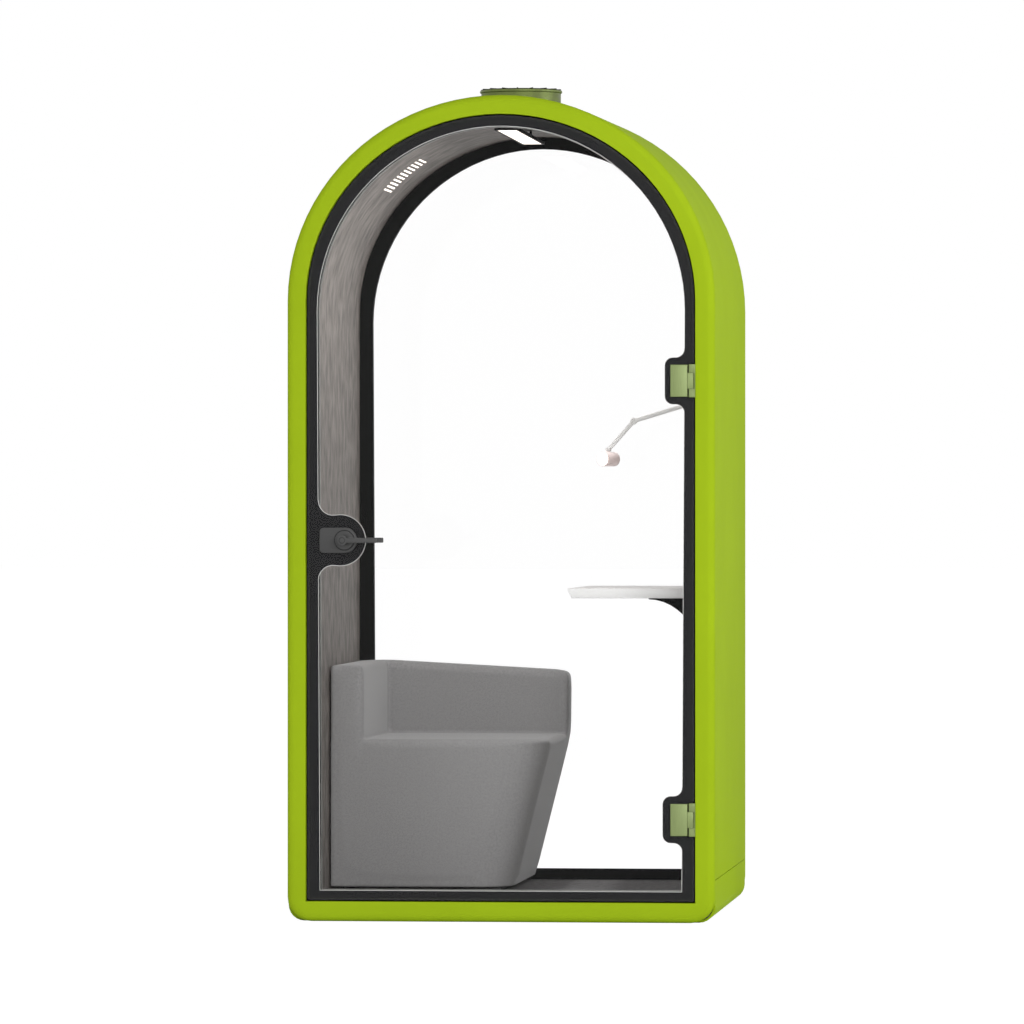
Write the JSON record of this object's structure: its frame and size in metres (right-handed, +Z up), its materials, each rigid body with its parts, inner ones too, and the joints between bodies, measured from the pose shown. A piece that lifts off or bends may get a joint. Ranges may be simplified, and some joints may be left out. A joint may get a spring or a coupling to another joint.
{
  "type": "acoustic office pod",
  "caption": "Arched single-person acoustic pod with a glass door and rear window, wood-look lining, padded corner bench, wall desk, jointed lamp, ceiling light and roof fan.",
  "frame": {"origin": "middle of the underside of the base, on the floor", "axes": "+X to the right seen from the door, +Y into the cabin from the door, +Z up"},
  "size_m": [1.182, 1.3603, 2.322],
  "materials": {
    "green_moulding": "satin painted moulding",
    "acoustic_felt": "needled felt",
    "wood_look_panel": "matt printed wood grain",
    "plywood": "bare",
    "carpet": "low loop pile",
    "black_aluminium": "matt black coat",
    "black_print": "printed on the glass",
    "clear_glass": "clear",
    "black_rubber": "matt",
    "pale_edging": "satin",
    "hinge_metal": "brushed, tinted by the shell",
    "bright_steel": "bright",
    "dark_metal": "dark satin",
    "grey_fabric": "smooth woven upholstery",
    "black_board": "black",
    "white_top": "white laminate",
    "black_bracket": "matt black coat",
    "white_metal": "white coat",
    "lamp_glow": "opal, lit",
    "galvanised": "galvanised",
    "black_grille": "matt black coat",
    "black_plastic": "matt"
  },
  "bodies": {
    "pod": {"front_rim": "green_moulding", "rear_rim": "green_moulding", "outer_shell": "green_moulding", "base_tray": "green_moulding", "wall_core": "acoustic_felt", "floor_core": "acoustic_felt", "lining": "wood_look_panel", "floor_deck": "plywood", "carpet": "carpet", "door_stop_frame": "black_aluminium", "rear_frame": "black_aluminium", "luminaire_housing": "black_aluminium", "rear_edging": "black_aluminium", "rear_border": "black_print", "rear_glass": "clear_glass", "door_seal": "black_rubber", "door_seal_hinge_side": "black_rubber", "rear_gasket": "black_rubber", "front_edging": "pale_edging", "hinge_upper_block": "hinge_metal", "hinge_lower_block": "hinge_metal", "hinge_upper_pin": "bright_steel", "hinge_lower_pin": "bright_steel", "latch_keeper": "bright_steel", "bench_seat": "grey_fabric", "bench_backrest": "grey_fabric", "bench_wing": "grey_fabric", "bench_plinth": "black_board", "desk_top": "white_top", "desk_bracket_front": "black_bracket", "desk_bracket_rear": "black_bracket", "lamp_wall_plate": "white_metal", "luminaire_diffuser": "lamp_glow", "fan_cowl": "galvanised", "fan_grille": "black_grille", "fan_motor": "black_plastic"},
    "door": {"door_glass": "clear_glass", "door_border": "black_print", "hinge_upper_leaf_outer": "hinge_metal", "hinge_upper_leaf_inner": "hinge_metal", "hinge_lower_leaf_outer": "hinge_metal", "hinge_lower_leaf_inner": "hinge_metal", "lock_plate_outer": "dark_metal", "lock_case_inner": "dark_metal"},
    "handle": {"lever_outer": "dark_metal", "lever_inner": "dark_metal", "lock_spindle": "bright_steel"},
    "latch": {"latch_bolt": "bright_steel"},
    "lamp_swivel": {"lamp_swivel": "white_metal"},
    "lamp_upper_arm": {"lamp_upper_arm": "white_metal"},
    "lamp_lower_arm": {"lamp_lower_arm": "white_metal"},
    "lamp_head": {"lamp_head": "white_metal", "lamp_lens": "lamp_glow"},
    "fan_wheel": {"fan_impeller": "black_plastic"}
  },
  "joints": [
    {"name": "door_hinge", "type": "hinge", "parent": "pod", "child": "door", "pos_m": [0.531, -0.648, 0.8865], "axis": [0, 0, 1], "range_deg": [0, 90]},
    {"name": "handle_turn", "type": "hinge", "parent": "door", "child": "handle", "pos_m": [-0.43, -0.64, 1.051], "axis": [0, 1, 0], "range_deg": [0, 45], "stiffness_Nm_per_rad": 1.5, "springref_deg": -20.05},
    {"name": "latch_slide", "type": "slide", "parent": "door", "child": "latch", "axis": [1, 0, 0], "range_m": [0, 0.012]},
    {"name": "lamp_swing", "type": "hinge", "parent": "pod", "child": "lamp_swivel", "pos_m": [0.514, 0.156, 1.453], "axis": [0, 0, 1], "range_deg": [-60, 60]},
    {"name": "lamp_shoulder", "type": "hinge", "parent": "lamp_swivel", "child": "lamp_upper_arm", "pos_m": [0.514, 0.156, 1.453], "axis": [0, 1, 0], "range_deg": [-15, 40]},
    {"name": "lamp_elbow", "type": "hinge", "parent": "lamp_upper_arm", "child": "lamp_lower_arm", "pos_m": [0.303, 0.156, 1.389], "axis": [0, 1, 0], "range_deg": [-50, 40]},
    {"name": "lamp_head_turn", "type": "hinge", "parent": "lamp_lower_arm", "child": "lamp_head", "pos_m": [0.23, 0.1588, 1.28], "axis": [0, 0, 1], "range_deg": [-90, 90]},
    {"name": "fan_spin", "type": "hinge", "parent": "pod", "child": "fan_wheel", "pos_m": [0, -0.052, 2.2717], "axis": [0, 0, 1], "continuous": true}
  ],
  "couplings": [
    {"joint": "latch_slide", "follows": "handle_turn", "m_per_rad": 0.01527}
  ]
}
